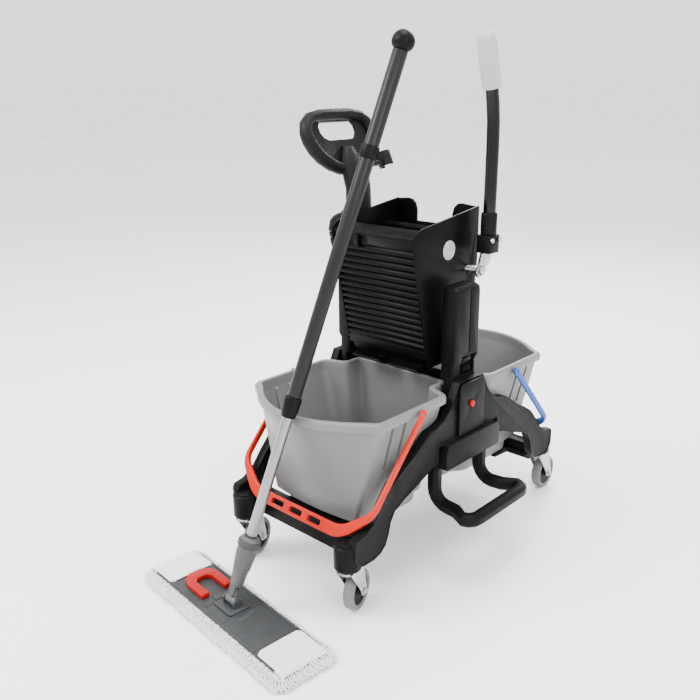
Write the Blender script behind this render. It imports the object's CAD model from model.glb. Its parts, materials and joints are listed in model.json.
import json
import math
import random

import bmesh
import bpy
from mathutils import Matrix, Vector, noise


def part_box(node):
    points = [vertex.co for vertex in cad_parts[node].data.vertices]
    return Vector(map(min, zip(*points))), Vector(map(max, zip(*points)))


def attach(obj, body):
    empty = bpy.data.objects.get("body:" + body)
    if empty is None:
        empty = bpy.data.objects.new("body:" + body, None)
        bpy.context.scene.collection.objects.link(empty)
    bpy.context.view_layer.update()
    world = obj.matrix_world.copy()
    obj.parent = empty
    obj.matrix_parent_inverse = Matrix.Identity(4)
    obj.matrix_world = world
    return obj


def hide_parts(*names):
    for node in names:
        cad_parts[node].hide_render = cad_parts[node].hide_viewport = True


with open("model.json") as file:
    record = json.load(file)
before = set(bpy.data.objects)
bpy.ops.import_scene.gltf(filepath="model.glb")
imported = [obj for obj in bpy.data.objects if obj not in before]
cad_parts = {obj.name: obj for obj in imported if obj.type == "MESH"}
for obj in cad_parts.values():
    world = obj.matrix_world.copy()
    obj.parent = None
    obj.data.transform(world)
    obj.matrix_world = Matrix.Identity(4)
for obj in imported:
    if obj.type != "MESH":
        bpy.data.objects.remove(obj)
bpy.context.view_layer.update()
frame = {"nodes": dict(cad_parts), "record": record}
nodes = frame["nodes"]

# Lengths are metres, +X is the lever's side, -Y the front and +Z up.
# MIDDLE is the trolley's own middle. The shared frame starts from the middle of trolley and mop together.
MIDDLE = Vector((-0.010999, 0.074193, 0.0))

CAMERA_PLACE = Vector((1.00966, -1.24434, 0.93641)) + MIDDLE
CAMERA_YAW = math.radians(43.172)
CAMERA_PITCH = math.radians(18.228)
CAMERA_ROLL = -0.00889
CAMERA_LENS = 41.28
SENSOR = 36.0

MOP_TURN = math.radians(-5.0)
MOP_LENGTH = 0.438
MOP_WIDTH = 0.124
PAD_TOP = 0.020
POCKET_LOW = 0.0259
POLE_FOOT = Vector((-0.01600, -0.46982, 0.050)) + MIDDLE
POLE_TOP = Vector((0.1086, -0.1471, 1.0087)) + MIDDLE
POLE_LINE = (POLE_TOP - POLE_FOOT).normalized()
GRIP_FOOT = Vector((0.138, 0.0743, 0.9300)) + MIDDLE
GRIP_TIP = Vector((0.138, 0.0555, 0.9950)) + MIDDLE


# ---------- materials

DRIFT_SCALE = 7.0
FLOW_SCALE = 16.0
PATCH_SCALE = 22.0
RUB_SCALE = 55.0
SPECK_SCALE = 420.0
SPANGLE_SCALE = 260.0


def noise_node(tree, coords, scale, detail=3.0, roughness=0.55):
    """A noise texture's value at the given coordinates."""
    made = tree.nodes.new("ShaderNodeTexNoise")
    made.inputs["Scale"].default_value = scale
    made.inputs["Detail"].default_value = detail
    made.inputs["Roughness"].default_value = roughness
    tree.links.new(coords, made.inputs["Vector"])
    return made.outputs["Fac"]


def spread_node(tree, value, low, high, start=0.3, end=0.7):
    """Maps a value from start-end to low-high."""
    made = tree.nodes.new("ShaderNodeMapRange")
    made.inputs["From Min"].default_value = start
    made.inputs["From Max"].default_value = end
    made.inputs["To Min"].default_value = low
    made.inputs["To Max"].default_value = high
    tree.links.new(value, made.inputs["Value"])
    return made.outputs["Result"]


def mix_node(tree, factor, first, second):
    """Mixes two colours. Each argument is a value or another node's output."""
    made = tree.nodes.new("ShaderNodeMix")
    made.data_type = "RGBA"
    for socket, value in ((made.inputs[0], factor), (made.inputs[6], first), (made.inputs[7], second)):
        if isinstance(value, (int, float, tuple)):
            socket.default_value = value
        else:
            tree.links.new(value, socket)
    return made.outputs[2]


def bump_node(tree, height, strength, distance, before=None):
    """A bumped normal from a height, on top of another bump when one is given."""
    made = tree.nodes.new("ShaderNodeBump")
    made.inputs["Strength"].default_value = strength
    made.inputs["Distance"].default_value = distance
    tree.links.new(height, made.inputs["Height"])
    if before is not None:
        tree.links.new(before, made.inputs["Normal"])
    return made.outputs["Normal"]


def scaled(colour, factor):
    """A lighter or darker colour, with its alpha."""
    return tuple(min(1.0, channel * factor) for channel in colour[:3]) + (1.0,)


def start_material(name):
    """A new material with its node tree, its shader and the object coordinates."""
    made = bpy.data.materials.new(name)
    made.use_nodes = True
    tree = made.node_tree
    shader = tree.nodes["Principled BSDF"]
    coords = tree.nodes.new("ShaderNodeTexCoord").outputs["Object"]
    return made, tree, shader, coords


def stretched(tree, coords, direction, along, across):
    """Coordinates squeezed along one direction, for brushed or drawn surfaces."""
    turn = Vector((0, 0, 1)).rotation_difference(direction).inverted().to_euler()
    turned = tree.nodes.new("ShaderNodeMapping")
    turned.inputs["Rotation"].default_value = turn
    squeezed = tree.nodes.new("ShaderNodeMapping")
    squeezed.inputs["Scale"].default_value = (across, across, along)
    tree.links.new(coords, turned.inputs["Vector"])
    tree.links.new(turned.outputs["Vector"], squeezed.inputs["Vector"])
    return squeezed.outputs["Vector"]


def moulded(name, colour, rough, grain=1500.0, grain_depth=0.00006, mottle=0.10, wear=0.35, flow=0.0,
            subsurface=0.0, specular=0.5):
    """A moulded plastic: fine texture, slow colour drift, flow marks, rubbed edges and patches of sheen."""
    made, tree, shader, coords = start_material(name)
    drift = spread_node(tree, noise_node(tree, coords, DRIFT_SCALE, 4.0), 0.0, 1.0)
    base = mix_node(tree, drift, scaled(colour, 1 - mottle), scaled(colour, 1 + mottle))
    speck = noise_node(tree, coords, SPECK_SCALE, 2.0)
    base = mix_node(tree, spread_node(tree, speck, 0.0, 0.35, 0.60, 0.75), base, scaled(colour, 1.35))
    if wear:
        edge = tree.nodes.new("ShaderNodeNewGeometry").outputs["Pointiness"]
        rubbed = tree.nodes.new("ShaderNodeMath")
        rubbed.operation = "MULTIPLY"
        tree.links.new(spread_node(tree, edge, 0.0, wear, 0.515, 0.60), rubbed.inputs[0])
        patchy = noise_node(tree, coords, RUB_SCALE)
        tree.links.new(spread_node(tree, patchy, 0.25, 1.0, 0.40, 0.62), rubbed.inputs[1])
        lighter = tuple(min(1.0, channel * 1.5 + 0.035) for channel in colour) + (1.0,)
        base = mix_node(tree, rubbed.outputs[0], base, lighter)
    tree.links.new(base, shader.inputs["Base Color"])
    patches = noise_node(tree, coords, PATCH_SCALE, 5.0, 0.65)
    tree.links.new(spread_node(tree, patches, rough - 0.07, rough + 0.08), shader.inputs["Roughness"])
    normal = bump_node(tree, noise_node(tree, coords, grain, 2.0), 0.35, grain_depth)
    if flow:
        slow = noise_node(tree, coords, FLOW_SCALE, 1.0)
        normal = bump_node(tree, slow, 0.25, flow, normal)
    tree.links.new(normal, shader.inputs["Normal"])
    shader.inputs["Specular IOR Level"].default_value = specular
    if subsurface:
        shader.inputs["Subsurface Weight"].default_value = subsurface
        shader.inputs["Subsurface Radius"].default_value = (0.010, 0.010, 0.010)
        shader.inputs["Subsurface Scale"].default_value = 0.6
    return made


def metal(name, colour, rough, direction=None, spangle=0.0, metallic=1.0, specular=0.5):
    """A bare or coated metal: drawn lines along a direction, or the spangle of zinc plating."""
    made, tree, shader, coords = start_material(name)
    if direction is None:
        pattern = noise_node(tree, coords, 130.0, 5.0, 0.6)
    else:
        pattern = noise_node(tree, stretched(tree, coords, direction, 6.0, 900.0), 1.0, 3.0)
    base = mix_node(tree, spread_node(tree, pattern, 0.0, 1.0), scaled(colour, 0.86), scaled(colour, 1.08))
    tree.links.new(base, shader.inputs["Base Color"])
    if spangle:
        cells = tree.nodes.new("ShaderNodeTexVoronoi")
        cells.inputs["Scale"].default_value = SPANGLE_SCALE
        tree.links.new(coords, cells.inputs["Vector"])
        tint = tree.nodes.new("ShaderNodeRGBToBW")
        tree.links.new(cells.outputs["Color"], tint.inputs[0])
        tree.links.new(spread_node(tree, tint.outputs[0], rough - spangle, rough + spangle, 0.2, 0.8),
                       shader.inputs["Roughness"])
    else:
        tree.links.new(spread_node(tree, pattern, rough - 0.06, rough + 0.08), shader.inputs["Roughness"])
    tree.links.new(bump_node(tree, pattern, 0.3, 0.00003), shader.inputs["Normal"])
    shader.inputs["Metallic"].default_value = metallic
    shader.inputs["Specular IOR Level"].default_value = specular
    return made


def pile(name, colour, rough=0.95, scale=620.0):
    """Looped yarn: soft, slightly grey in the hollows, with sheen."""
    made, tree, shader, coords = start_material(name)
    strands = noise_node(tree, coords, scale, 4.0, 0.7)
    patches = noise_node(tree, coords, 60.0, 3.0)
    base = mix_node(tree, spread_node(tree, strands, 0.0, 1.0), scaled(colour, 0.80), scaled(colour, 1.05))
    base = mix_node(tree, spread_node(tree, patches, 0.0, 0.30), base, scaled(colour, 0.88))
    tree.links.new(base, shader.inputs["Base Color"])
    tree.links.new(bump_node(tree, strands, 0.8, 0.0006), shader.inputs["Normal"])
    shader.inputs["Roughness"].default_value = rough
    shader.inputs["Sheen Weight"].default_value = 0.35
    shader.inputs["Sheen Roughness"].default_value = 0.5
    shader.inputs["Subsurface Weight"].default_value = 0.12
    shader.inputs["Subsurface Radius"].default_value = (0.003, 0.003, 0.003)
    return made


def woven(name, colour, thread=0.0011):
    """A plain weave laid square to the mop: warp and weft ridges and small tone changes."""
    made, tree, shader, coords = start_material(name)
    turned = tree.nodes.new("ShaderNodeMapping")
    turned.inputs["Rotation"].default_value = (0, 0, -MOP_TURN)
    tree.links.new(coords, turned.inputs["Vector"])
    ridges = []
    for axis in ("X", "Y"):
        wave = tree.nodes.new("ShaderNodeTexWave")
        wave.wave_type = "BANDS"
        wave.bands_direction = axis
        wave.inputs["Scale"].default_value = 1 / (thread * 10)
        wave.inputs["Distortion"].default_value = 0.6
        wave.inputs["Detail"].default_value = 1.0
        tree.links.new(turned.outputs["Vector"], wave.inputs["Vector"])
        ridges.append(wave.outputs["Fac"])
    both = tree.nodes.new("ShaderNodeMath")
    both.operation = "MULTIPLY"
    tree.links.new(ridges[0], both.inputs[0])
    tree.links.new(ridges[1], both.inputs[1])
    base = mix_node(tree, both.outputs[0], scaled(colour, 0.86), scaled(colour, 1.04))
    creases = noise_node(tree, coords, 45.0, 4.0)
    base = mix_node(tree, spread_node(tree, creases, 0.0, 0.25), base, scaled(colour, 0.88))
    tree.links.new(base, shader.inputs["Base Color"])
    normal = bump_node(tree, both.outputs[0], 0.6, 0.0003)
    normal = bump_node(tree, creases, 0.5, 0.0012, normal)
    tree.links.new(normal, shader.inputs["Normal"])
    shader.inputs["Roughness"].default_value = 0.85
    shader.inputs["Sheen Weight"].default_value = 0.25
    return made


def all_materials():
    """Every material, by the name that the builders below ask for."""
    blacks = {
        "black_plastic": moulded("black_moulding", (0.0030, 0.0030, 0.0032), 0.42, wear=0.10, flow=0.0004,
                                 specular=0.07),
        "press_black": moulded("press_moulding", (0.0012, 0.0012, 0.0013), 0.34, wear=0.08, flow=0.0005,
                               specular=0.06),
        "handle_black": moulded("handle_moulding", (0.0048, 0.0048, 0.0050), 0.48, grain=2100.0, wear=0.12,
                                specular=0.10),
    }
    bright = dict(rough=0.36, mottle=0.05, wear=0.1, flow=0.0003)
    colours = {
        "bail_red": moulded("bail_red_moulding", (0.41, 0.0088, 0.0006), specular=0.18, **bright),
        "bail_blue": moulded("bail_blue_moulding", (0.020, 0.072, 0.29), specular=0.22, **bright),
        "red_plastic": moulded("pedal_red_moulding", (0.30, 0.0022, 0.0016), specular=0.2, **bright),
    }
    greys = {
        "bucket_grey": moulded("bucket_moulding", (0.130, 0.130, 0.128), 0.40, grain=900.0, mottle=0.035,
                               wear=0.25, flow=0.0006, subsurface=0.22),
        "grey_plastic": moulded("joint_grey_moulding", (0.062, 0.062, 0.064), 0.44, mottle=0.06,
                                flow=0.0003, specular=0.3),
        "slate_plastic": moulded("slate_moulding", (0.0145, 0.0165, 0.0180), 0.54, grain=700.0,
                                 grain_depth=0.0002, mottle=0.08, wear=0.3),
        "badge_grey": moulded("badge_moulding", (0.30, 0.30, 0.295), 0.40, mottle=0.04, wear=0.3),
        "grey_tyre": moulded("tyre_rubber", (0.115, 0.115, 0.108), 0.62, grain=1200.0, mottle=0.10, wear=0.5),
        "pale_grip": moulded("pale_soft_grip", (0.36, 0.36, 0.365), 0.55, grain=1800.0, mottle=0.04,
                             wear=0.25, subsurface=0.1),
    }
    metals = {
        "zinc_steel": metal("zinc_plate", (0.50, 0.50, 0.485), 0.30, spangle=0.10),
        "bare_aluminium": metal("drawn_aluminium", (0.27, 0.27, 0.275), 0.30, POLE_LINE),
        "dark_grey_tube": metal("dark_drawn_tube", (0.0100, 0.0103, 0.0108), 0.34, POLE_LINE, metallic=0.0,
                                specular=0.16),
        "gloss_black_tube": metal("black_enamel_tube", (0.0016, 0.0016, 0.0018), 0.13, metallic=0.0,
                                  specular=0.25),
    }
    cloths = {
        "microfibre": pile("looped_pile", (0.74, 0.75, 0.73)),
        "pocket_cloth": woven("pocket_weave", (0.74, 0.745, 0.74)),
        "stitch": pile("stitch_thread", (0.60, 0.61, 0.60), 0.8, 2400.0),
    }
    return {**blacks, **colours, **greys, **metals, **cloths}


# ---------- mesh helpers

def new_piece(name, mesh_maker, material, body):
    """A smooth-shaded piece in the shared frame that rides on a body."""
    mesh = bpy.data.meshes.new(name)
    bmesh.ops.recalc_face_normals(mesh_maker, faces=mesh_maker.faces)
    for face in mesh_maker.faces:
        face.smooth = True
    mesh_maker.to_mesh(mesh)
    mesh_maker.free()
    made = bpy.data.objects.new(name, mesh)
    bpy.context.scene.collection.objects.link(made)
    mesh.materials.append(material)
    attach(made, body)
    return made


def skin(mesh_maker, rings):
    """Joins rings of points into a closed skin with a cap on each end."""
    loops = [[mesh_maker.verts.new(point) for point in ring] for ring in rings]
    size = len(loops[0])
    for first, second in zip(loops, loops[1:]):
        for i in range(size):
            j = (i + 1) % size
            mesh_maker.faces.new((first[i], first[j], second[j], second[i]))
    mesh_maker.faces.new(list(reversed(loops[0])))
    mesh_maker.faces.new(loops[-1])


def square_to(direction):
    """Two unit vectors at right angles to a direction and to each other."""
    direction = Vector(direction).normalized()
    other = Vector((0, 0, 1)) if abs(direction.z) < 0.9 else Vector((1, 0, 0))
    side = direction.cross(other).normalized()
    return side, direction.cross(side).normalized()


def circle(centre, side, up, radius, sides):
    """Points round a circle that lies in the plane of side and up."""
    turns = [2 * math.pi * i / sides for i in range(sides)]
    return [centre + (side * math.cos(turn) + up * math.sin(turn)) * radius for turn in turns]


def round_rings(foot, direction, profile, sides):
    """Rings of (distance, radius) pairs round an axis."""
    side, up = square_to(direction)
    along = Vector(direction).normalized()
    return [circle(Vector(foot) + along * distance, side, up, radius, sides) for distance, radius in profile]


def pipe_rings(points, radius, sides):
    """Rings along a path, kept square to it."""
    rings = []
    side = None
    for i, point in enumerate(points):
        before = points[max(i - 1, 0)]
        after = points[min(i + 1, len(points) - 1)]
        along = (after - before).normalized()
        if side is None:
            side, _ = square_to(along)
        side = (side - along * side.dot(along)).normalized()
        rings.append(circle(point, side, along.cross(side), radius, sides))
    return rings


def smooth_path(points, count):
    """Catmull-Rom points through the given ones, count steps for each span."""
    last = len(points) - 1
    result = []
    for i in range(last):
        a, b, c, d = (points[min(max(i + k, 0), last)] for k in (-1, 0, 1, 2))
        for k in range(count):
            t = k / count
            result.append(0.5 * ((2 * b) + (c - a) * t + (2 * a - 5 * b + 4 * c - d) * t * t
                                 + (3 * b - a - 3 * c + d) * t * t * t))
    result.append(points[-1].copy())
    return result


def evaluated_mesh(piece):
    """A new mesh of a piece with its modifiers applied."""
    graph = bpy.context.evaluated_depsgraph_get()
    return bpy.data.meshes.new_from_object(piece.evaluated_get(graph))


def swap_mesh(piece, mesh):
    """Gives a piece another mesh and drops the old one."""
    old = piece.data
    piece.data = mesh
    bpy.data.meshes.remove(old)


def round_edges(piece, width, angle):
    """A bevel modifier on a piece's edges that are sharper than an angle in degrees."""
    rounder = piece.modifiers.new("rounded_edges", "BEVEL")
    rounder.limit_method = "ANGLE"
    rounder.angle_limit = math.radians(angle)
    rounder.width = width
    rounder.segments = 2
    return rounder


# ---------- CAD nodes

SHARP_ANGLE = 38
EDGE = 0.0005
# Rounded edge of each CAD node, by how its name starts. The others have EDGE.
BEVELS = {
    "column": 0.0022, "side_frame": 0.0018, "cover_panel": 0.0014, "cross_beam": 0.0018,
    "centre_bridge": 0.0014,
    "press_side": 0.0012, "press_front": 0.0007, "press_back": 0.0011, "press_plate": 0.0010,
    "press_drain": 0.0010, "foot_loop": 0.0012, "push_handle": 0.0016, "bail": 0.0011, "bucket": 0.0010,
    "caster_fork": 0.0005, "caster_hub": 0.0006, "caster_tyre": 0.0008, "lever_bracket": 0.0007,
    "lever_clamp": 0.0012, "pole_holder": 0.0008, "pole_socket": 0.0009, "pole_collar": 0.0006,
    "pole_clip": 0.0006, "joint": 0.0008, "mop_frame": 0.0007, "pedal": 0.0011, "press_badge": 0.0006,
}
# CAD nodes that take another black than their slot's.
SPECIAL = {
    "press_side_left": "press_black", "press_side_right": "press_black", "press_front_wall": "press_black",
    "press_back_wall": "press_black", "press_plate": "press_black", "press_drain_floor": "press_black",
    "push_handle": "handle_black", "pole_holder": "handle_black",
}


def start_group(name):
    """A geometry node group with one geometry in and one out."""
    group = bpy.data.node_groups.new(name, "GeometryNodeTree")
    group.interface.new_socket("Geometry", in_out="INPUT", socket_type="NodeSocketGeometry")
    group.interface.new_socket("Geometry", in_out="OUTPUT", socket_type="NodeSocketGeometry")
    return group, group.nodes.new("NodeGroupInput"), group.nodes.new("NodeGroupOutput")


def soften_group():
    """A node group that joins split corners and shades every face smooth."""
    group, start, end = start_group("soften")
    drop = group.nodes.new("GeometryNodeRemoveAttribute")
    drop.inputs["Name"].default_value = "custom_normal"
    weld = group.nodes.new("GeometryNodeMergeByDistance")
    weld.inputs["Distance"].default_value = 0.00002
    shade = group.nodes.new("GeometryNodeSetShadeSmooth")
    group.links.new(start.outputs[0], drop.inputs[0])
    group.links.new(drop.outputs[0], weld.inputs["Geometry"])
    group.links.new(weld.outputs[0], shade.inputs["Geometry"])
    group.links.new(shade.outputs[0], end.inputs[0])
    return group


def sharpen_group():
    """A node group that shades an edge smooth only where its angle is small."""
    group, start, end = start_group("sharpen")
    angle = group.nodes.new("GeometryNodeInputMeshEdgeAngle")
    small = group.nodes.new("FunctionNodeCompare")
    small.data_type = "FLOAT"
    small.operation = "LESS_THAN"
    small.inputs[1].default_value = math.radians(SHARP_ANGLE)
    shade = group.nodes.new("GeometryNodeSetShadeSmooth")
    shade.domain = "EDGE"
    group.links.new(start.outputs[0], shade.inputs["Geometry"])
    group.links.new(angle.outputs["Unsigned Angle"], small.inputs[0])
    group.links.new(small.outputs[0], shade.inputs["Shade Smooth"])
    group.links.new(shade.outputs[0], end.inputs[0])
    return group


def sharpen(piece):
    """Keeps a piece's sharp edges crisp."""
    piece.modifiers.new("sharpen", "NODES").node_group = bpy.data.node_groups["sharpen"]


def dress_nodes(materials):
    """Gives every shown CAD node its material, rounded edges and smooth shading."""
    soften = soften_group()
    sharpen_group()
    slots = {part["node"]: part["material_slot"] for part in frame["record"]["subparts"]}
    for name, item in nodes.items():
        item.data.materials.clear()
        item.data.materials.append(materials[SPECIAL.get(name, slots[name])])
        item.modifiers.new("soften", "NODES").node_group = soften
        width = next((size for start, size in BEVELS.items() if name.startswith(start)), EDGE)
        rounder = round_edges(item, width, 30)
        rounder.use_clamp_overlap = True
        rounder.miter_outer = "MITER_ARC"
        sharpen(item)


# ---------- mop head

def mop_point(a, b, z):
    """A point on the mop: a along it, b across it and z above the floor."""
    low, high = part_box("mop_pad")
    along = Vector((math.cos(MOP_TURN), math.sin(MOP_TURN), 0))
    across = Vector((-along.y, along.x, 0))
    centre = (low + high) / 2
    return Vector((centre.x, centre.y, 0)) + along * a + across * b + Vector((0, 0, z))


def rounded_outline(length, width, radius, step):
    """Points and outward directions round a rounded rectangle, step apart."""
    half_a, half_b = length / 2 - radius, width / 2 - radius
    points = []
    corners = ((half_a, half_b, 0), (-half_a, half_b, 90), (-half_a, -half_b, 180), (half_a, -half_b, 270))
    arc = max(4, int(radius * math.pi / 2 / step))
    for i, (ca, cb, start) in enumerate(corners):
        for k in range(arc + 1):
            turn = math.radians(start + 90 * k / arc)
            points.append((ca + radius * math.cos(turn), cb + radius * math.sin(turn), turn))
        na, nb, _ = corners[(i + 1) % 4]
        turn = math.radians(start + 90)
        first = Vector((ca + radius * math.cos(turn), cb + radius * math.sin(turn)))
        last = Vector((na + radius * math.cos(turn), nb + radius * math.sin(turn)))
        count = max(1, int((last - first).length / step))
        for k in range(1, count):
            spot = first.lerp(last, k / count)
            points.append((spot.x, spot.y, turn))
    return points


def yarn_loop(mesh_maker, path, radius):
    """One loop of yarn along a path of a few points."""
    skin(mesh_maker, pipe_rings(smooth_path(path, 3), radius, 5))


def relax(piece, cap, frames=20):
    """Inflates a closed piece as cloth for a few frames, capped, and applies the result."""
    rest = [vertex.co.copy() for vertex in piece.data.vertices]
    cloth = piece.modifiers.new("cloth", "CLOTH")
    cloth.settings.use_pressure = True
    cloth.settings.uniform_pressure_force = 4.0
    cloth.settings.effector_weights.gravity = 0.0
    cloth.settings.quality = 6
    cloth.point_cache.frame_start = 1
    cloth.point_cache.frame_end = frames
    for step in range(1, frames + 1):
        bpy.context.scene.frame_set(step)
    graph = bpy.context.evaluated_depsgraph_get()
    swelled = piece.evaluated_get(graph).to_mesh()
    moved = [vertex.co.copy() for vertex in swelled.vertices]
    piece.evaluated_get(graph).to_mesh_clear()
    piece.modifiers.remove(cloth)
    bpy.context.scene.frame_set(1)
    for vertex, before, after in zip(piece.data.vertices, rest, moved):
        shift = after - before
        if shift.length > cap:
            shift *= cap / shift.length
        vertex.co = before + shift


def remesh(piece, size):
    """Applies a voxel remesh to a piece's mesh."""
    voxels = piece.modifiers.new("remesh", "REMESH")
    voxels.mode = "VOXEL"
    voxels.voxel_size = size
    fine = evaluated_mesh(piece)
    piece.modifiers.remove(voxels)
    swap_mesh(piece, fine)


def subdivide(piece):
    """One level of subdivision, at any quality."""
    level = piece.modifiers.new("smoother", "SUBSURF")
    level.levels = level.render_levels = 1


PAD_CORNER = 0.018
# The core's levels: height above the floor, and how far each lies outside the pad's outline.
CORE_LEVELS = ((0.0012, -0.0075), (0.0050, -0.0052), (0.0130, -0.0050), (0.0172, -0.0065), (0.0187, -0.0100))
CORE_VOXEL = 0.0045
CORE_SWELL = 0.0012
# The fringe's layers: height that its loops start at, height they fall to, reach outwards and spacing.
FRINGE_LAYERS = (
    (0.0180, 0.0090, 0.0012, 0.0048), (0.0140, 0.0085, 0.0038, 0.0050), (0.0095, 0.0068, 0.0052, 0.0050),
    (0.0050, 0.0034, 0.0044, 0.0054),
)
FRINGE_YARN = 0.00150
FRINGE_LOW = 0.0013
PILE_YARN = 0.00140
PILE_TRIES = 1900
# Half the sides of the area under the plate, which has no pile.
PILE_BARE = (0.198, 0.047)


def make_pad_core(materials):
    """The pad's sewn core, swelled a little as cloth."""
    core = bmesh.new()
    outline = rounded_outline(MOP_LENGTH, MOP_WIDTH, PAD_CORNER, 0.004)
    skin(core, [
        [mop_point(a + grow * math.cos(turn), b + grow * math.sin(turn), height) for a, b, turn in outline]
        for height, grow in CORE_LEVELS
    ])
    pad = new_piece("pad_core", core, materials["microfibre"], "mop_head")
    remesh(pad, CORE_VOXEL)
    pad.data.materials.append(materials["microfibre"])
    relax(pad, CORE_SWELL)
    for vertex in pad.data.vertices:
        rough = noise.noise(vertex.co * 240.0) * 0.0004
        vertex.co.z = min(max(vertex.co.z + rough, 0.0004), PAD_TOP - 0.0002)
    for face in pad.data.polygons:
        face.use_smooth = True
    subdivide(pad)
    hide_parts("mop_pad")


def make_fringe(materials, draw):
    """Layers of yarn loops that hang out all round the pad, in uneven clumps."""
    fringe = bmesh.new()
    for start, sag, reach, pitch in FRINGE_LAYERS:
        for a, b, turn in rounded_outline(MOP_LENGTH, MOP_WIDTH, PAD_CORNER, pitch):
            out = Vector((math.cos(turn), math.sin(turn)))
            side = Vector((-out.y, out.x))
            clump = noise.noise(Vector((a * 38.0, b * 38.0, start * 90.0)))
            lean = draw.uniform(-0.0020, 0.0020) + clump * 0.003
            tip = reach + clump * 0.0036 + draw.uniform(-0.0014, 0.0014)
            half = draw.uniform(0.0014, 0.0024)
            height = start + draw.uniform(-0.0010, 0.0010)
            fall = start - sag
            spots = (
                (-0.0070, -half, height),
                (-0.0010, -half * 1.1, height - 0.0002),
                (tip, -half * 0.6 + lean, height - fall * 0.6),
                (tip + 0.0008, half * 0.6 + lean, height - fall),
                (-0.0010, half * 1.1, max(height - 0.0035, 0.0016)),
                (-0.0070, half, max(height - 0.004, 0.0018)),
            )
            path = []
            for grow, shift, z in spots:
                flat = Vector((a, b)) + out * grow + side * shift
                path.append(mop_point(flat.x, flat.y, max(z, FRINGE_LOW)))
            yarn_loop(fringe, path, FRINGE_YARN)
    new_piece("pad_fringe", fringe, materials["microfibre"], "mop_head")


def make_pile(materials, draw):
    """Short loops over the pad's bare border, lying every way."""
    pile_loops = bmesh.new()
    for _ in range(PILE_TRIES):
        a = draw.uniform(-MOP_LENGTH / 2 + 0.004, MOP_LENGTH / 2 - 0.004)
        b = draw.uniform(-MOP_WIDTH / 2 + 0.004, MOP_WIDTH / 2 - 0.004)
        if abs(a) < PILE_BARE[0] and abs(b) < PILE_BARE[1]:
            continue
        past_a = max(abs(a) - MOP_LENGTH / 2 + PAD_CORNER, 0)
        past_b = max(abs(b) - MOP_WIDTH / 2 + PAD_CORNER, 0)
        if Vector((past_a, past_b)).length > 0.0145:
            continue
        turn = draw.uniform(0, math.pi)
        ahead = Vector((math.cos(turn), math.sin(turn))) * draw.uniform(0.0016, 0.0028)
        z = PAD_TOP - 0.0012 + draw.uniform(-0.0004, 0.0010)
        spots = ((-1.0, -0.0012), (-0.8, 0.0006), (0.8, 0.0006), (1.0, -0.0012))
        path = [mop_point(a + ahead.x * step, b + ahead.y * step, z + rise) for step, rise in spots]
        yarn_loop(pile_loops, path, PILE_YARN)
    new_piece("pad_pile", pile_loops, materials["microfibre"], "mop_head")


def make_pad(materials):
    """The microfibre pad: a sewn core, a fringe of loops all round and looped pile on its border."""
    draw = random.Random(11)
    make_pad_core(materials)
    make_fringe(materials, draw)
    make_pile(materials, draw)


POCKET_NEAR = 0.138
POCKET_FAR = 0.2145
POCKET_HALF = 0.0500
POCKET_CROWN = 0.0026
POCKET_SWELL = 0.0011
POCKET_COLUMNS = 22
POCKET_ROWS = 24
STITCH_YARN = 0.00032


def pocket_swell(u, v):
    """How far the filled pocket rises at u along it and v across it."""
    return POCKET_SWELL * (1 - v * v) * math.sin(math.pi * min(1, u * 1.1))


def pocket_height(a, u, v):
    """Height of the pocket's cloth: crowned, wrinkled and drawn down at its outer edges."""
    edge = min(1.0, (1 - abs(v)) / 0.10, u / 0.05 + 0.35, (1 - u) / 0.09 + 0.02)
    crown = POCKET_CROWN * math.sqrt(max(0.0, edge)) + pocket_swell(u, v)
    wrinkle = noise.noise(Vector((a * 60, v * 2.2, 3.0))) * 0.0006
    end_drop = max(0.0, (u - 0.86) / 0.14)
    side_drop = max(0.0, (abs(v) - 0.90) / 0.10)
    return POCKET_LOW + crown + wrinkle * max(0.0, edge) - 0.0046 * end_drop ** 2 - 0.0036 * side_drop ** 2


def make_flap(word, sign, materials):
    """The pocket's sheet of cloth, with thickness."""
    flap = bmesh.new()
    grid = []
    for i in range(POCKET_COLUMNS + 1):
        u = i / POCKET_COLUMNS
        a = POCKET_NEAR + (POCKET_FAR - POCKET_NEAR) * u
        width = POCKET_HALF - 0.0085 * max(0.0, 1 - u / 0.08) ** 1.5
        line = []
        for k in range(POCKET_ROWS + 1):
            v = 2 * k / POCKET_ROWS - 1
            line.append(flap.verts.new(mop_point(sign * a, v * width, pocket_height(a, u, v))))
        grid.append(line)
    for i in range(POCKET_COLUMNS):
        for k in range(POCKET_ROWS):
            flap.faces.new((grid[i][k], grid[i + 1][k], grid[i + 1][k + 1], grid[i][k + 1]))
    made = new_piece(f"pocket_{word}", flap, materials["pocket_cloth"], "mop_head")
    solid = made.modifiers.new("cloth_thickness", "SOLIDIFY")
    solid.thickness = 0.0009
    solid.offset = -1
    subdivide(made)
    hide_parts(f"mop_pocket_{word}")
    return made


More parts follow.
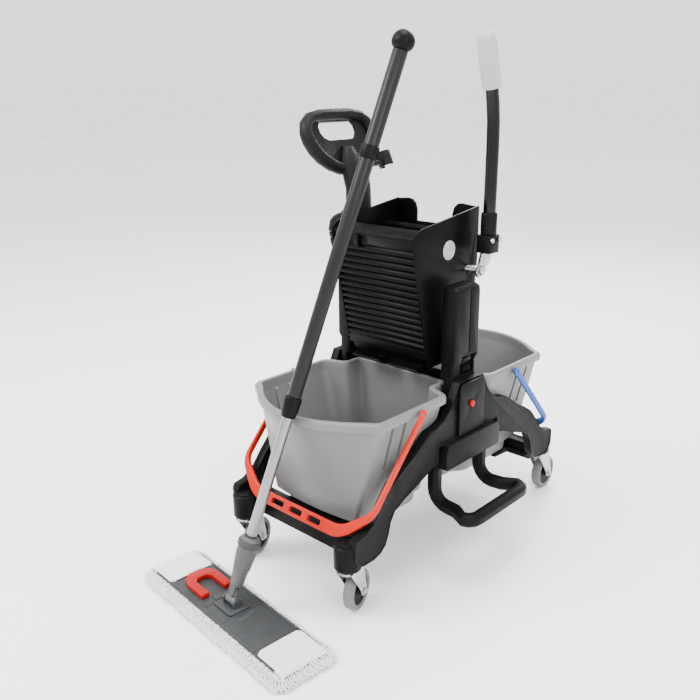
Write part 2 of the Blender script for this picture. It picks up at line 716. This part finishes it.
def make_pocket(word, sign, materials):
    """One woven end pocket: a crowned flap with stitches across its mouth and along both sides."""
    made = make_flap(word, sign, materials)
    length = POCKET_FAR - POCKET_NEAR
    mouth = [(POCKET_NEAR + 0.007, -0.80 + 1.6 * k / 26) for k in range(27)]
    sides = [[(POCKET_NEAR + 0.010 + (length - 0.016) * k / 20, v) for k in range(21)] for v in (-0.86, 0.86)]
    thread = bmesh.new()
    for row in [mouth] + sides:
        for (a0, v0), (a1, v1) in zip(row, row[1:]):
            a, v = (a0 + a1) / 2, (v0 + v1) / 2
            ahead = Vector((a1 - a0, (v1 - v0) * POCKET_HALF)) * 0.30
            z = POCKET_LOW + POCKET_CROWN + pocket_swell((a - POCKET_NEAR) / length, v) + 0.0002
            spots = ((-1, -0.0006), (0, 0.0001), (1, -0.0006))
            path = [mop_point(sign * (a + ahead.x * step), v * POCKET_HALF + ahead.y * step, z + rise)
                    for step, rise in spots]
            yarn_loop(thread, path, STITCH_YARN)
    seam = new_piece(f"pocket_seam_{word}", thread, materials["stitch"], "mop_head")


# ---------- lever grip

GRIP_LENGTH = 0.104
# The grip's rolled lip, as (distance along it, radius).
GRIP_LIP = ((0.0008, 0.0127), (0.0000, 0.0140), (0.0006, 0.0162), (0.0022, 0.0178), (0.0042, 0.0182),
            (0.0058, 0.0177), (0.0075, 0.0175))
GRIP_STEPS = 46
DOME_STEPS = 10
DOME = 0.0165


def make_grip(materials):
    """The soft grip over the lever's end: a rolled lip, a slow swell, fine rings and a domed tip."""
    profile = list(GRIP_LIP)
    for i in range(GRIP_STEPS + 1):
        t = i / GRIP_STEPS
        ripple = 0.00016 * math.sin(2 * math.pi * t * 15) if 0.12 < t < 0.85 else 0.0
        swell = 0.0009 * math.sin(math.pi * t)
        profile.append((0.0090 + (GRIP_LENGTH - 0.026) * t, 0.0176 + swell + ripple))
    for i in range(1, DOME_STEPS):
        turn = math.radians(90 * i / DOME_STEPS)
        profile.append((GRIP_LENGTH - DOME + DOME * math.sin(turn), 0.0014 + 0.0162 * math.cos(turn)))
    profile.append((GRIP_LENGTH + 0.0002, 0.0008))
    body = bmesh.new()
    skin(body, round_rings(GRIP_FOOT, GRIP_TIP - GRIP_FOOT, profile, 40))
    made = new_piece("grip_sleeve", body, materials["pale_grip"], "lever")
    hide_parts("lever_grip")


# ---------- buckets

RIM_Z = 0.373
LIP_Z = 0.355
STEP_Z = 0.160
FLOOR_Z = 0.128
WALL = 0.0035
# Outlines at three levels, from the trolley's middle outwards.
RIM = dict(half=0.160, corner=0.268, apex=0.340, jog=0.072, neck=0.113, inner=0.015)
LOW = dict(half=0.112, corner=0.276, apex=0.285, jog=0.076, neck=0.090, inner=0.024)
PLINTH = dict(half=0.100, corner=0.252, apex=0.258, jog=0.080, neck=0.080, inner=0.034)
# The two slots in each side wall: place along the wall and lower end.
SLOTS = ((0.226, 0.2635), (0.191, 0.2715))
SLOT_TOP = 0.3495
SLOT_HALF = 0.0042
SLOT_EDGE = 0.0008
SLOT_DEPTH = 0.0052
SLOT_LEVELS = (0.2625, 0.2645, 0.2705, 0.2725)
WALL_LEVELS = (STEP_Z + 0.001, 0.19, 0.22, 0.245, *SLOT_LEVELS, 0.290, 0.310, 0.330, 0.3488, 0.3508, LIP_Z)
INNER_LEVELS = (0.3508, 0.3488, 0.32, 0.29, *reversed(SLOT_LEVELS), 0.24, 0.20, STEP_Z + 0.006)
# Rings as (growth past the outline, level).
FOOT_RINGS = (
    (-0.0040, FLOOR_Z), (-0.0012, FLOOR_Z + 0.0008), (0.0, FLOOR_Z + 0.0035), (0.002, STEP_Z - 0.005),
)
LIP_RINGS = (
    (0.0050, LIP_Z + 0.0003), (0.0066, LIP_Z + 0.0014), (0.0070, LIP_Z + 0.0040), (0.0070, RIM_Z - 0.0065),
    (0.0062, RIM_Z - 0.0030), (0.0042, RIM_Z - 0.0008), (0.0016, RIM_Z), (-0.0014, RIM_Z - 0.0002),
    (-0.0030, RIM_Z - 0.0016), (-WALL, RIM_Z - 0.0036), (-WALL, LIP_Z),
)
BASIN_RINGS = (
    (-WALL + 0.0030, STEP_Z + 0.001), (-WALL, STEP_Z - 0.004), (-WALL - 0.002, FLOOR_Z + 0.008),
    (-WALL - 0.0045, FLOOR_Z + WALL + 0.0006), (-WALL - 0.010, FLOOR_Z + WALL),
)
BAIL_PIVOT = (0.1665, 0.159, 0.361)
# The stud that a bail turns on, as (distance out, radius).
STUD = (
    (0.0, 0.0031), (0.0118, 0.0031), (0.0120, 0.0046), (0.0128, 0.0050), (0.0134, 0.0044), (0.0137, 0.0020),
)


def between(first, second, t):
    """An outline part of the way from one to another."""
    return {key: first[key] + (second[key] - first[key]) * t for key in first}


def arc_corner(before, corner, after, radius, steps=4):
    """Points that round off one corner of an outline."""
    start = corner - (corner - before).normalized() * radius
    end = corner + (after - corner).normalized() * radius
    turns = [i / steps for i in range(steps + 1)]
    return [start * (1 - t) ** 2 + corner * 2 * t * (1 - t) + end * t * t for t in turns]


def bucket_ring(end, shape, grow, level):
    """One level of a bucket: bowed outer end, rounded corners, straight sides, a jog and a neck."""
    half, corner = shape["half"] + grow, shape["corner"] + grow
    apex, neck = shape["apex"] + grow, shape["neck"] + grow
    inner, jog = shape["inner"] - grow, shape["jog"] - grow
    bow = half - 0.009
    right = [Vector((bow * i / 16, apex - (apex - corner) * (i / 16) ** 2)) for i in range(16)]
    shoulder = Vector((half - 0.0004, corner - 0.001))
    straight_end = Vector((half, jog + 0.022))
    right += arc_corner(right[-1], shoulder, straight_end, 0.010)
    for middle, low in SLOTS:
        depth = SLOT_DEPTH if low < level < SLOT_TOP else 0.0
        for step, sunk in ((SLOT_HALF, 0.0), (SLOT_HALF - SLOT_EDGE, depth),
                           (SLOT_EDGE - SLOT_HALF, depth), (-SLOT_HALF, 0.0)):
            right.append(Vector((half - sunk, middle + step)))
    jog_outer, jog_inner = Vector((half, jog + 0.006)), Vector((neck, jog - 0.012))
    neck_end = Vector((neck, inner))
    right += arc_corner(straight_end, jog_outer, jog_inner, 0.016, 5)
    right += arc_corner(jog_outer, jog_inner, neck_end, 0.012, 5)
    right += arc_corner(jog_inner, neck_end, Vector((0, inner)), 0.014, 5)
    left = [Vector((-point.x, point.y)) for point in reversed(right[1:])]
    return [Vector((point.x, end * point.y, level)) + MIDDLE for point in right + left]


def make_bucket(word, end, materials):
    """A moulded bucket: stepped foot, drafted walls with two slots a side, a rolled lip and pivot studs."""
    def wall_ring(grow, z):
        return bucket_ring(end, between(LOW, RIM, (z - STEP_Z) / (LIP_Z - STEP_Z)), grow, z)

    rings = [bucket_ring(end, PLINTH, grow, z) for grow, z in FOOT_RINGS]
    rings.append(bucket_ring(end, between(PLINTH, LOW, 0.85), 0.0, STEP_Z - 0.002))
    rings += [wall_ring(0.0, z) for z in WALL_LEVELS]
    rings += [bucket_ring(end, RIM, grow, z) for grow, z in LIP_RINGS]
    rings += [wall_ring(-WALL, z) for z in INNER_LEVELS]
    rings += [bucket_ring(end, PLINTH, grow, z) for grow, z in BASIN_RINGS]
    shell = bmesh.new()
    skin(shell, rings)
    x, y, z = BAIL_PIVOT
    for side in (1, -1):
        foot = Vector((side * (x - 0.0040), end * y, z)) + MIDDLE
        skin(shell, round_rings(foot, (side, 0, 0), STUD, 20))
    made = new_piece(f"bucket_shell_{word}", shell, materials["bucket_grey"], f"bucket_{word}")
    sharpen(made)
    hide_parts(f"bucket_{word}")


# ---------- bails

BAIL_SIDE_X = 0.1745
BAIL_KNEE = (0.2975, 0.2095)
BAIL_BAR = (0.3225, 0.1635)
BAIL_BAR_HALF = 0.117
BAIL_SLOT_STEP = 0.050
BAIL_HOLE = ((0.0, 0.0037), (0.020, 0.0037))
# Distances from the pivot along the eye and the arm.
BAIL_EYE = (-0.0085, -0.0080, -0.0070, -0.0055, -0.0035, -0.0015, 0.0, 0.0020, 0.0045, 0.0075, 0.012, 0.018)
BAIL_ARM = (0.060, 0.110, 0.160, 0.176)
# The strip's section: distance from the pivot, half its size outwards and half its size across.
BAIL_HALVES = (
    (-0.0085, 0.0022, 0.0020), (-0.0080, 0.0045, 0.0027), (-0.0070, 0.0060, 0.0029),
    (-0.0035, 0.0080, 0.0030), (0.0, 0.0086, 0.0030), (0.0075, 0.0078, 0.0030), (0.018, 0.0066, 0.0031),
    (0.176, 0.0064, 0.0034), (0.200, 0.0054, 0.0052), (0.225, 0.0040, 0.0078), (0.250, 0.0036, 0.0100),
    (0.290, 0.0035, 0.0122), (0.400, 0.0035, 0.0125),
)
BAIL_TURN_START = 0.180
BAIL_TURN_LENGTH = 0.050
SECTION_POINTS = 24
SECTION_POWER = 0.42


def between_rows(rows, place):
    """The values at a place between rows that each start with their own place."""
    for low, high in zip(rows, rows[1:]):
        if place <= high[0]:
            t = max(0.0, (place - low[0]) / (high[0] - low[0]))
            return [a + (b - a) * t for a, b in zip(low[1:], high[1:])]
    return list(rows[-1][1:])


def cut(piece, cutter):
    """Takes closed shapes out of a piece's mesh."""
    bmesh.ops.recalc_face_normals(cutter, faces=cutter.faces)
    mesh = bpy.data.meshes.new("cutter")
    cutter.to_mesh(mesh)
    cutter.free()
    tool = bpy.data.objects.new("cutter", mesh)
    bpy.context.scene.collection.objects.link(tool)
    trim = piece.modifiers.new("cut", "BOOLEAN")
    trim.object = tool
    trim.solver = "EXACT"
    done = evaluated_mesh(piece)
    piece.modifiers.remove(trim)
    swap_mesh(piece, done)
    bpy.data.objects.remove(tool)
    bpy.data.meshes.remove(mesh)


def soft_rectangle(centre, first, half_first, second, half_second):
    """Points round a rectangle with rounded corners, as a superellipse."""
    ring = []
    for k in range(SECTION_POINTS):
        turn = 2 * math.pi * (k + 0.5) / SECTION_POINTS
        a = math.copysign(abs(math.cos(turn)) ** SECTION_POWER, math.cos(turn)) * half_first
        b = math.copysign(abs(math.sin(turn)) ** SECTION_POWER, math.sin(turn)) * half_second
        ring.append(centre + first * a + second * b)
    return ring


def make_bail(word, end, materials):
    """A flat-strip handle with rounded bends, an eye at each end and three slots along its bar."""
    _, y, z = BAIL_PIVOT
    pivot = Vector((BAIL_SIDE_X, end * y, z))
    knee = Vector((BAIL_SIDE_X, end * BAIL_KNEE[0], BAIL_KNEE[1]))
    bar = Vector((BAIL_BAR_HALF, end * BAIL_BAR[0], BAIL_BAR[1]))
    middle = Vector((0.0, bar.y, bar.z))
    arm = (knee - pivot).normalized()
    down = Vector((0, bar.y - knee.y, bar.z - knee.z)).normalized()
    arm_out = Vector((0, -arm.z * end, arm.y * end))
    bar_out = Vector((0, -down.z * end, down.y * end))
    path = [pivot + arm * step for step in BAIL_EYE + BAIL_ARM]
    path += arc_corner(pivot, knee, bar, 0.020, 8)
    path += arc_corner(knee, bar, middle, 0.026, 10)
    path += [bar.lerp(middle, t) for t in (0.4, 0.6, 0.8)]
    path += [Vector((-point.x, point.y, point.z)) for point in [middle] + list(reversed(path))]
    lengths = [0.0]
    for before, after in zip(path, path[1:]):
        lengths.append(lengths[-1] + (after - before).length)
    last = len(path) - 1
    rings = []
    for i, (point, length) in enumerate(zip(path, lengths)):
        place = min(length, lengths[-1] - length) + BAIL_EYE[0]
        along = (path[min(i + 1, last)] - path[max(i - 1, 0)]).normalized()
        t = min(max((place - BAIL_TURN_START) / BAIL_TURN_LENGTH, 0.0), 1.0)
        out = arm_out.lerp(bar_out, t * t * (3 - 2 * t))
        out = (out - along * out.dot(along)).normalized()
        half_out, half_wide = between_rows(BAIL_HALVES, place)
        rings.append(soft_rectangle(point + MIDDLE, out, half_out, along.cross(out), half_wide))
    strip = bmesh.new()
    skin(strip, rings)
    colour = "bail_red" if end < 0 else "bail_blue"
    made = new_piece(f"bail_strip_{word}", strip, materials[colour], f"bail_{word}")
    cutter = bmesh.new()
    for side in (1, -1):
        foot = Vector((side * (BAIL_SIDE_X - 0.010), end * y, z)) + MIDDLE
        skin(cutter, round_rings(foot, (side, 0, 0), BAIL_HOLE, 20))
    slot = rounded_outline(0.034, 0.0115, 0.0036, 0.0012)
    for i in (-1, 0, 1):
        centre = middle + Vector((BAIL_SLOT_STEP * i, 0, 0)) + MIDDLE
        skin(cutter, [[centre + Vector((a, 0, 0)) + down * b + bar_out * level for a, b, _ in slot]
                      for level in (-0.012, 0.012)])
    cut(made, cutter)
    round_edges(made, 0.0007, 50)
    sharpen(made)
    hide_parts(f"bail_{word}")


# ---------- small mouldings

STEM = (0.142, 0.330)
HOUSING_TOP = 0.156
CAP_PROFILE = (
    (0.0, 0.0200), (0.0016, 0.0200), (0.0026, 0.0192), (0.0028, 0.0180), (0.0024, 0.0170), (0.0008, 0.0164),
    (0.0006, 0.0150), (0.0016, 0.0142), (0.0026, 0.0110), (0.0032, 0.0060), (0.0034, 0.0008),
)
BADGE = Vector((0.1071, 0.0, 0.634)) + MIDDLE
BADGE_RINGS = (0.0158, 0.0088)
BADGE_WIRE = 0.0006


def make_caps(materials):
    """The ringed caps that close the tops of the four swivel housings."""
    for end, end_word in ((-1, "front"), (1, "rear")):
        for side, side_word in ((1, "right"), (-1, "left")):
            foot = Vector((side * STEM[0], end * STEM[1], HOUSING_TOP - 0.0004)) + MIDDLE
            cap = bmesh.new()
            skin(cap, round_rings(foot, (0, 0, 1), CAP_PROFILE, 36))
            new_piece(f"housing_cap_{end_word}_{side_word}", cap, materials["black_plastic"], "trolley")


def make_badge(materials):
    """Two raised rings on the plain badge."""
    rings = bmesh.new()
    for radius in BADGE_RINGS:
        path = circle(BADGE, Vector((0, 1, 0)), Vector((0, 0, 1)), radius, 48)
        skin(rings, pipe_rings(path + path[:1], BADGE_WIRE, 8))
    new_piece("badge_rings", rings, materials["zinc_steel"], "trolley")


SOCKET_FOOT = POLE_FOOT + POLE_LINE * 0.01682
# Distances here run up the pole from the socket's foot.
SOCKET_PROFILE = ((0.0, 0.0120), (0.010, 0.0135), (0.030, 0.0150), (0.060, 0.0178), (0.088, 0.0195))
RIBS = 7
FIRST_RIB = 0.036
RIB_STEP = 0.0055
RIB_PROFILE = ((-0.0016, -0.0006), (-0.0008, 0.0009), (0.0008, 0.0010), (0.0016, -0.0004))
BAND_PROFILE = ((0.0790, 0.0180), (0.0795, 0.0203), (0.0805, 0.0212), (0.0900, 0.0212), (0.0910, 0.0204),
                (0.0915, 0.0170))
# The clamp's latch: reach from the axis, low end, high end and half width.
LATCH_LEVELS = ((0.0190, 0.0470, 0.0880, 0.0048), (0.0235, 0.0480, 0.0884, 0.0052),
                (0.0252, 0.0500, 0.0870, 0.0046), (0.0258, 0.0530, 0.0850, 0.0034))


def make_socket_details(materials):
    """Grip ribs round the pole's socket, its clamp band and the clamp's thumb latch."""
    ribs = bmesh.new()
    for i in range(RIBS):
        place = FIRST_RIB + RIB_STEP * i
        radius, = between_rows(SOCKET_PROFILE, place)
        profile = [(place + step, radius + rise) for step, rise in RIB_PROFILE]
        skin(ribs, round_rings(SOCKET_FOOT, POLE_LINE, profile, 36))
    new_piece("socket_ribs", ribs, materials["grey_plastic"], "mop_stick")
    clamp = bmesh.new()
    skin(clamp, round_rings(SOCKET_FOOT, POLE_LINE, BAND_PROFILE, 40))
    side, up = square_to(POLE_LINE)
    out = (side * 0.6 + up * 0.8).normalized()
    across = POLE_LINE.cross(out).normalized()
    skin(clamp, [
        [SOCKET_FOOT + POLE_LINE * along + out * reach + across * (half * sign)
         for along, sign in ((low, -1), (high, -1), (high, 1), (low, 1))]
        for reach, low, high, half in LATCH_LEVELS
    ])
    sharpen(new_piece("socket_clamp", clamp, materials["slate_plastic"], "mop_stick"))


PLATE_TOP = PAD_TOP + 0.0054
LIP_HALF = 0.134
LIP_AT = 0.0462
FOLD_AT = 0.0300
# The latch and the rest beside the joint: place along the plate, half length, half width and height.
LATCHES = ((-0.0395, 0.0068, 0.0150, 0.0022), (0.0410, 0.0072, 0.0190, 0.0009))


def slab(mesh_maker, a, b, half_a, half_b, tall, inset):
    """A flat block on the mop's plate, with its top edge drawn in."""
    high = PLATE_TOP + tall
    levels = ((PLATE_TOP, 0.0), (high - inset, 0.0), (high - inset * 0.3, inset * 0.6), (high, inset * 1.5))
    rings = []
    for z, shrink in levels:
        ring = []
        for sign_a, sign_b in ((-1, -1), (1, -1), (1, 1), (-1, 1)):
            out = Vector((sign_a * half_a, sign_b * half_b))
            out -= out.normalized() * shrink
            ring.append(mop_point(a + out.x, b + out.y, z))
        rings.append(ring)
    skin(mesh_maker, rings)


def make_plate_details(materials):
    """Stiffening lips, the fold's seams and the latch on the mop's plate."""
    lips = bmesh.new()
    for b in (-LIP_AT, LIP_AT):
        slab(lips, 0.0, b, LIP_HALF, 0.0016, 0.0014, 0.0004)
    for a in (-FOLD_AT, FOLD_AT):
        slab(lips, a, 0.0, 0.0012, 0.042, 0.0010, 0.0003)
    new_piece("plate_lips", lips, materials["slate_plastic"], "mop_head")
    latch = bmesh.new()
    for a, half_a, half_b, tall in LATCHES:
        slab(latch, a, 0.0, half_a, half_b, tall, 0.0007)
    new_piece("plate_latch", latch, materials["slate_plastic"], "mop_head")


# ---------- stage

FLOOR_REACH = 14.0
FLOOR_LEVEL = -0.0004
# The world's strength at the horizon and higher up, so that the far floor runs on into it.
WORLD_LOW = 1.78
WORLD_HIGH = 2.1
WORLD_RISE = 0.30
# Lamps: name, place, point aimed at, size and power.
LAMPS = (
    ("key_softbox", (-1.3, -2.0, 2.6), (0, 0, 0.45), 1.5, 130),
    ("fill_softbox", (2.6, -1.0, 1.7), (0, 0, 0.5), 1.3, 50),
    ("back_softbox", (-0.8, 2.4, 2.3), (0, 0, 0.6), 1.2, 90),
    ("top_softbox", (0.3, 0.0, 3.0), (0, 0, 0.3), 1.6, 90),
)


def make_floor():
    """A wide pale floor with slow changes of tone."""
    floor = bmesh.new()
    signs = ((-1, -1), (1, -1), (1, 1), (-1, 1))
    floor.faces.new([floor.verts.new((a * FLOOR_REACH, b * FLOOR_REACH, FLOOR_LEVEL)) for a, b in signs])
    mesh = bpy.data.meshes.new("studio_floor")
    floor.to_mesh(mesh)
    floor.free()
    item = bpy.data.objects.new("studio_floor", mesh)
    bpy.context.scene.collection.objects.link(item)
    made, tree, shader, coords = start_material("studio_floor")
    tone = mix_node(tree, noise_node(tree, coords, 0.8), (0.89, 0.89, 0.89, 1), (0.92, 0.92, 0.92, 1))
    tree.links.new(tone, shader.inputs["Base Color"])
    shader.inputs["Roughness"].default_value = 0.85
    shader.inputs["Specular IOR Level"].default_value = 0.0
    mesh.materials.append(made)


def make_world():
    """A white surround that is a little dimmer at the horizon."""
    world = bpy.data.worlds.new("studio")
    bpy.context.scene.world = world
    world.use_nodes = True
    tree = world.node_tree
    background = tree.nodes["Background"]
    background.inputs[0].default_value = (1.0, 1.0, 1.0, 1)
    split = tree.nodes.new("ShaderNodeSeparateXYZ")
    tree.links.new(tree.nodes.new("ShaderNodeTexCoord").outputs["Generated"], split.inputs[0])
    glow = spread_node(tree, split.outputs["Z"], WORLD_LOW, WORLD_HIGH, 0.0, WORLD_RISE)
    tree.links.new(glow, background.inputs[1])


def make_lamps():
    """Large soft lamps round and above the trolley."""
    for name, place, aim, size, power in LAMPS:
        light = bpy.data.lights.new(name, "AREA")
        light.shape = "DISK"
        light.size = size
        light.energy = power
        lamp = bpy.data.objects.new(name, light)
        lamp.location = place
        lamp.rotation_euler = (Vector(aim) - Vector(place)).to_track_quat("-Z", "Y").to_euler()
        bpy.context.scene.collection.objects.link(lamp)


def make_camera():
    """The camera, level but for a small roll."""
    flat = math.cos(CAMERA_PITCH)
    back = Vector((math.sin(CAMERA_YAW) * flat, -math.cos(CAMERA_YAW) * flat, math.sin(CAMERA_PITCH)))
    right = Vector((math.cos(CAMERA_YAW), math.sin(CAMERA_YAW), 0))
    up = back.cross(right)
    right_rolled = right * math.cos(CAMERA_ROLL) + up * math.sin(CAMERA_ROLL)
    up_rolled = up * math.cos(CAMERA_ROLL) - right * math.sin(CAMERA_ROLL)
    lens = bpy.data.cameras.new("camera")
    lens.lens = CAMERA_LENS
    lens.sensor_width = SENSOR
    camera = bpy.data.objects.new("camera", lens)
    turn = Matrix((right_rolled, up_rolled, back)).transposed()
    camera.matrix_world = Matrix.Translation(CAMERA_PLACE) @ turn.to_4x4()
    bpy.context.scene.collection.objects.link(camera)
    bpy.context.scene.camera = camera


def main():
    """Builds the whole scene round the loaded frame."""
    make_camera()
    make_floor()
    make_world()
    make_lamps()
    materials = all_materials()
    dress_nodes(materials)
    make_pad(materials)
    for word, sign in (("left", -1), ("right", 1)):
        make_pocket(word, sign, materials)
    make_grip(materials)
    for word, end in (("front", -1), ("rear", 1)):
        make_bucket(word, end, materials)
        make_bail(word, end, materials)
    make_caps(materials)
    make_badge(materials)
    make_plate_details(materials)
    make_socket_details(materials)


main()
